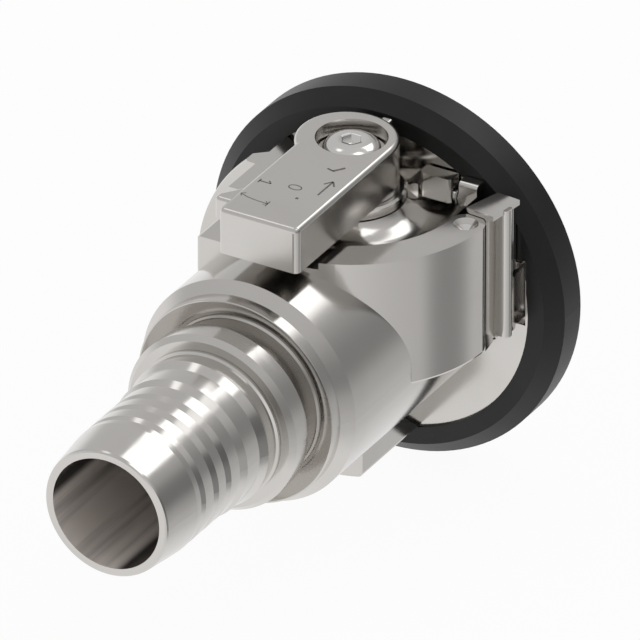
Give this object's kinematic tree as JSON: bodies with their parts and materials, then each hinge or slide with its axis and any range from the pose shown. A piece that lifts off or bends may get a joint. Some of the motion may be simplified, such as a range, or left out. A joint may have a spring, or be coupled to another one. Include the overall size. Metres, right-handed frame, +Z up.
{
  "type": "dry break coupling",
  "caption": "Dry break hose coupling with a barbed swivel tail, lobed valve body, hand lever, poppet valve, side latches and a rubber bumper ring.",
  "frame": {"origin": "centre of the hose tail's open mouth", "axes": "+Y along the flow from the hose tail to the nose, +Z up along the valve spindle towards the lever, +X across"},
  "size_m": [0.197, 0.2945, 0.197],
  "materials": {
    "cast_steel": "satin cast and machined",
    "turned_steel": "fine turned",
    "lever_steel": "blasted satin",
    "bright_steel": "polished",
    "spring_steel": "drawn wire",
    "bronze": "turned",
    "black_rubber": "moulded matte"
  },
  "bodies": {
    "body": {"valve_body": "cast_steel", "bumper_ring": "black_rubber", "bumper_screws": "bright_steel", "nose_seal": "black_rubber", "seat_ring": "bronze", "front_guide": "cast_steel", "rear_guide": "cast_steel", "swivel_seal": "black_rubber", "swivel_wiper": "black_rubber", "ball_plug": "bright_steel", "spindle_bush_lower": "bronze", "spindle_bush_upper": "bronze", "spindle_seals": "black_rubber", "gland_collar": "turned_steel", "latch_pin_right": "bright_steel", "latch_pin_left": "bright_steel", "latch_spring_right": "spring_steel", "latch_spring_left": "spring_steel", "pawl_pin": "bright_steel", "pawl_spring": "spring_steel"},
    "swivel": {"hose_tail": "turned_steel", "swivel_balls": "bright_steel"},
    "handle": {"lever": "lever_steel", "lever_washer": "bright_steel", "lever_bolt": "bright_steel", "lever_shim": "bright_steel", "spindle": "turned_steel", "pinion": "bronze", "pinion_key": "bright_steel", "pinion_clip": "spring_steel", "thrust_washer": "bronze"},
    "poppet": {"poppet_head": "turned_steel", "poppet_seal": "black_rubber", "poppet_stem": "turned_steel", "poppet_nut": "bright_steel", "poppet_rack": "turned_steel", "rack_screws": "bright_steel"},
    "latch_r": {"latch_right": "cast_steel"},
    "latch_l": {"latch_left": "cast_steel"},
    "pawl": {"interlock_pawl": "cast_steel"}
  },
  "joints": [
    {"name": "lever_turn", "type": "hinge", "parent": "body", "child": "handle", "pos_m": [0, 0.2354, 0], "axis": [0, 0, 1], "range_deg": [-90, 0]},
    {"name": "poppet_slide", "type": "slide", "parent": "body", "child": "poppet", "axis": [0, 1, 0], "range_m": [0, 0.0197]},
    {"name": "tail_swivel", "type": "hinge", "parent": "body", "child": "swivel", "pos_m": [0, 0.14, 0], "axis": [0, 1, 0], "continuous": true},
    {"name": "latch_right_swing", "type": "hinge", "parent": "body", "child": "latch_r", "pos_m": [0.065, 0.233, 0], "axis": [0, 0, 1], "range_deg": [-4, 0], "stiffness_Nm_per_rad": 0.8, "springref_deg": 6.88, "deforming": ["latch_spring_right"]},
    {"name": "latch_left_swing", "type": "hinge", "parent": "body", "child": "latch_l", "pos_m": [-0.065, 0.233, 0], "axis": [0, 0, -1], "range_deg": [-4, 0], "stiffness_Nm_per_rad": 0.8, "springref_deg": 6.88, "deforming": ["latch_spring_left"]},
    {"name": "pawl_swing", "type": "hinge", "parent": "body", "child": "pawl", "pos_m": [0.0343, 0.2614, 0.0586], "axis": [1, 0, 0], "range_deg": [0, 15], "stiffness_Nm_per_rad": 0.1, "springref_deg": -20.05, "deforming": ["pawl_spring"]}
  ],
  "couplings": [
    {"joint": "poppet_slide", "follows": "lever_turn", "m_per_rad": -0.0125}
  ]
}
